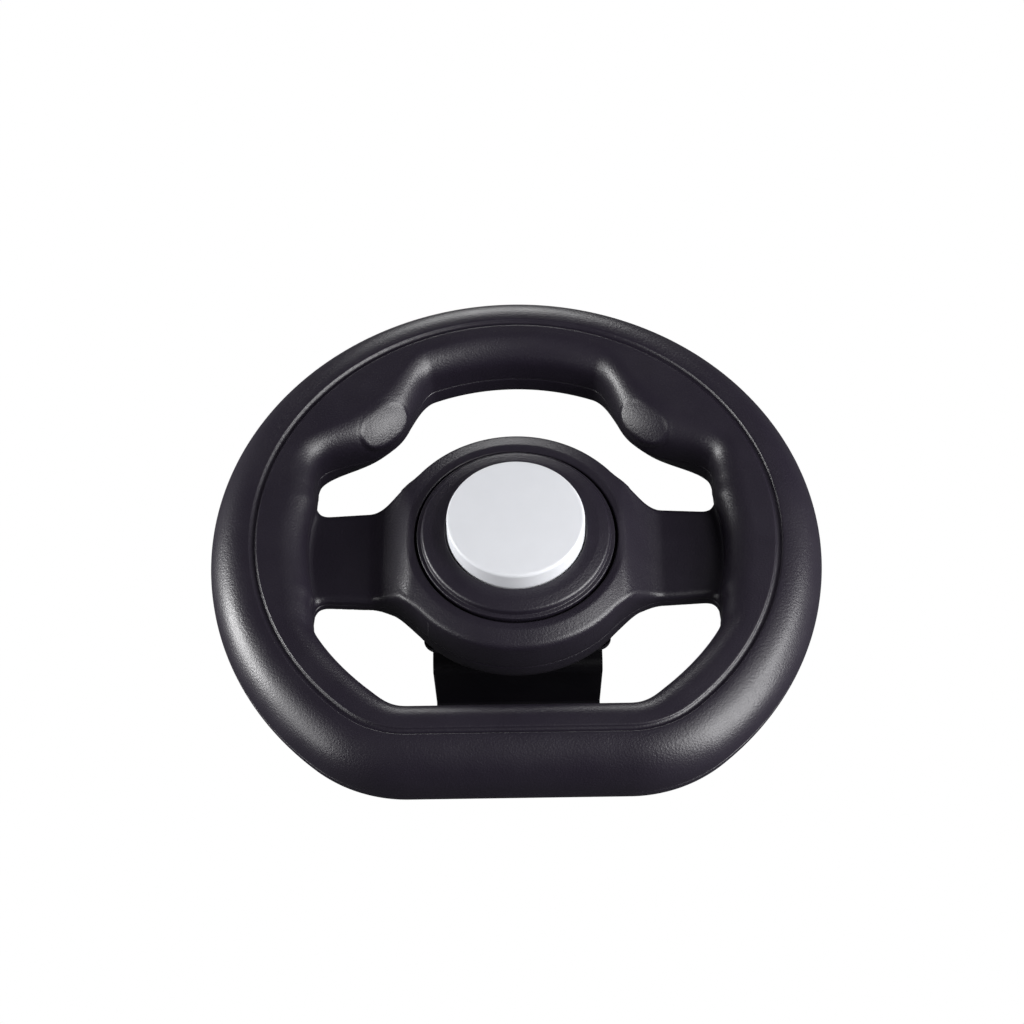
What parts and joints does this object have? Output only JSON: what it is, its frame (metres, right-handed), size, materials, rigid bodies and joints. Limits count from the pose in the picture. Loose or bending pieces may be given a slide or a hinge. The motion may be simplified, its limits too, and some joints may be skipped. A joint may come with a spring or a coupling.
{
  "type": "play steering wheel",
  "caption": "Play steering wheel with a flat bottom bar, wide spokes, thumb rests and a press-in horn button, turning on a bent steel bracket.",
  "frame": {"origin": "under the middle of the wheel's outline, in the plane of the undersides of the bracket's feet; the axle stands 9.5 mm from it, towards the flat bottom bar", "axes": "+Z along the axle from the bracket to the horn button; +X along the spokes, to the right of a person at the flat bottom bar; +Y from the flat bottom bar to the round top of the rim"},
  "size_m": [0.3, 0.281, 0.11],
  "materials": {
    "black_shell": "black moulded polyethylene with a fine satin grain",
    "white_cap": "pale cool grey-white moulded plastic, satin",
    "inner_plastic": "plain black moulded plastic",
    "coated_steel": "black powder coat on bent steel sheet and tube",
    "zinc_steel": "bright zinc-plated steel",
    "spring_steel": "oiled spring wire",
    "nylon": "natural nylon, slightly waxy",
    "soft_rubber": "soft black rubber"
  },
  "bodies": {
    "base": {"bracket": "coated_steel", "axle_bolt": "zinc_steel", "bolt_head_washer": "zinc_steel", "spacer_tube": "coated_steel", "axle_sleeve": "zinc_steel", "thrust_washer": "nylon", "top_washer": "zinc_steel", "lock_nut": "zinc_steel"},
    "wheel": {"front_shell": "black_shell", "rear_shell": "black_shell", "rear_bush": "nylon", "front_bush": "nylon", "rim_screw_1": "zinc_steel", "rim_screw_2": "zinc_steel", "rim_screw_3": "zinc_steel", "rim_screw_4": "zinc_steel", "rim_screw_5": "zinc_steel", "rim_screw_6": "zinc_steel", "rim_screw_7": "zinc_steel", "rim_screw_8": "zinc_steel", "hub_screw_1": "zinc_steel", "hub_screw_2": "zinc_steel", "hub_screw_3": "zinc_steel", "hub_screw_4": "zinc_steel", "bezel": "black_shell", "bezel_screw_1": "zinc_steel", "bezel_screw_2": "zinc_steel", "bezel_screw_3": "zinc_steel", "bezel_screw_4": "zinc_steel", "button_spring": "spring_steel", "squeaker_plate": "inner_plastic", "squeaker_bellows": "soft_rubber", "squeaker_reed": "nylon"},
    "button": {"horn_button": "white_cap"}
  },
  "joints": [
    {"name": "wheel_spin", "type": "hinge", "parent": "base", "child": "wheel", "pos_m": [0, -0.0095, 0.065], "axis": [0, 0, 1], "continuous": true},
    {"name": "horn_press", "type": "slide", "parent": "wheel", "child": "button", "axis": [0, 0, -1], "range_m": [0, 0.004], "stiffness_N_per_m": 1500, "deforming": ["button_spring", "squeaker_bellows"]}
  ]
}
